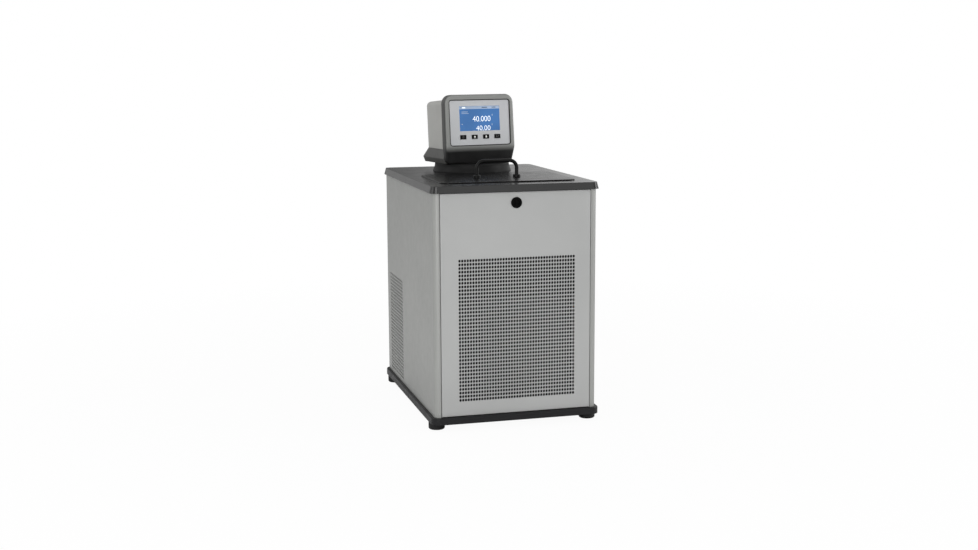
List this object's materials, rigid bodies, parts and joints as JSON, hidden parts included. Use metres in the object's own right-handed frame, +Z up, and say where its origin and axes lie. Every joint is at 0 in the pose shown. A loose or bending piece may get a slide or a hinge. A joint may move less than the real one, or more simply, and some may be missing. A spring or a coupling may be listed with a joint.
{
  "type": "recirculating chiller",
  "caption": "Floor-standing refrigerated circulating bath: sheet cabinet with punched grille, lidded bath opening and a swivelling controller head with display and keys.",
  "frame": {"origin": "on the floor under the middle of the whole object's bounding box", "axes": "+X to the right seen from the front, +Y to the rear, +Z up"},
  "size_m": [0.3708, 0.5658, 0.6928],
  "materials": {
    "black_plastic": "satin moulded",
    "black_rubber": "matt",
    "side_paint": "satin",
    "front_paint": "satin",
    "zinc_sheet": "plain",
    "deck_plastic": "semi-gloss",
    "lid_plastic": "semi-gloss",
    "head_dark": "satin",
    "head_light": "satin",
    "silver_panel": "satin membrane",
    "display": "clear-faced",
    "board_white": "plain",
    "key_black": "satin",
    "circuit_board": "lacquered",
    "stainless": "brushed",
    "foam": "foamed in place",
    "motor_paint": "satin",
    "nickel": "plated",
    "aluminium": "plain",
    "copper": "drawn tube",
    "nylon": "moulded"
  },
  "bodies": {
    "cabinet": {"base_tray": "black_plastic", "rubber_feet": "black_rubber", "side_panel_left": "side_paint", "side_panel_right": "side_paint", "front_panel": "front_paint", "rear_panel": "zinc_sheet", "front_rail": "zinc_sheet", "deck": "deck_plastic", "lid": "lid_plastic", "lid_handle": "black_plastic", "handle_ferrules": "black_plastic", "latch_bezel": "black_plastic", "pedestal": "deck_plastic", "bath_tank": "stainless", "tank_insulation": "foam", "evaporator_coil": "stainless", "motor_plate": "stainless", "pump_motor": "motor_paint", "pump_column": "stainless", "pump_housing": "black_plastic", "heater_coil": "stainless", "temperature_probe": "stainless", "float_stem": "stainless", "supply_pipe": "stainless", "return_pipe": "stainless", "supply_port": "stainless", "return_port": "stainless", "power_inlet": "black_plastic", "inlet_pins": "nickel", "switch_frame": "black_plastic", "compressor": "motor_paint", "compressor_mounts": "black_rubber", "condenser": "aluminium", "fan_shroud": "zinc_sheet", "fan_bracket": "zinc_sheet", "fan_motor": "motor_paint", "suction_line": "copper", "filter_drier": "copper", "liquid_line": "copper", "capillary_line": "copper", "discharge_line": "copper", "power_board": "circuit_board", "board_standoffs": "nylon"},
    "head": {"head_skirt": "head_dark", "head_shell": "head_light", "bezel": "head_dark", "key_panel": "silver_panel", "display_window": "display", "display_module": "board_white", "control_board": "circuit_board"},
    "key_power_body": {"key_power": "key_black"},
    "key_down_body": {"key_down": "key_black"},
    "key_up_body": {"key_up": "key_black"},
    "key_enter_body": {"key_enter": "key_black"},
    "pump": {"pump_shaft": "stainless", "impeller": "black_plastic"},
    "fan": {"fan_rotor": "aluminium"},
    "latch": {"latch_knob": "black_plastic"},
    "rocker": {"power_switch": "black_plastic"},
    "float": {"level_float": "stainless"}
  },
  "joints": [
    {"name": "head_swivel", "type": "hinge", "parent": "cabinet", "child": "head", "pos_m": [0, 0.0919, 0.5362], "axis": [0, 0, 1], "range_deg": [-102.6, 77.4]},
    {"name": "key_power_press", "type": "slide", "parent": "head", "child": "key_power_body", "axis": [-0.2175, 0.973, -0.0776], "range_m": [0, 0.0006], "stiffness_N_per_m": 800, "springref_m": -0.0002},
    {"name": "key_down_press", "type": "slide", "parent": "head", "child": "key_down_body", "axis": [-0.2175, 0.973, -0.0776], "range_m": [0, 0.0006], "stiffness_N_per_m": 800, "springref_m": -0.0002},
    {"name": "key_up_press", "type": "slide", "parent": "head", "child": "key_up_body", "axis": [-0.2175, 0.973, -0.0776], "range_m": [0, 0.0006], "stiffness_N_per_m": 800, "springref_m": -0.0002},
    {"name": "key_enter_press", "type": "slide", "parent": "head", "child": "key_enter_body", "axis": [-0.2175, 0.973, -0.0776], "range_m": [0, 0.0006], "stiffness_N_per_m": 800, "springref_m": -0.0002},
    {"name": "pump_spin", "type": "hinge", "parent": "cabinet", "child": "pump", "pos_m": [0, 0.0919, 0.517], "axis": [0, 0, 1], "continuous": true},
    {"name": "fan_spin", "type": "hinge", "parent": "cabinet", "child": "fan", "pos_m": [0, -0.1706, 0.1525], "axis": [0, 1, 0], "continuous": true},
    {"name": "latch_turn", "type": "hinge", "parent": "cabinet", "child": "latch", "pos_m": [0, -0.2756, 0.4788], "axis": [0, 1, 0], "range_deg": [0, 90]},
    {"name": "rocker_tilt", "type": "hinge", "parent": "cabinet", "child": "rocker", "pos_m": [-0.138, 0.2244, 0.34], "axis": [1, 0, 0], "range_deg": [0, 16]},
    {"name": "float_rise", "type": "slide", "parent": "cabinet", "child": "float", "axis": [0, 0, 1], "range_m": [0, 0.012]}
  ]
}
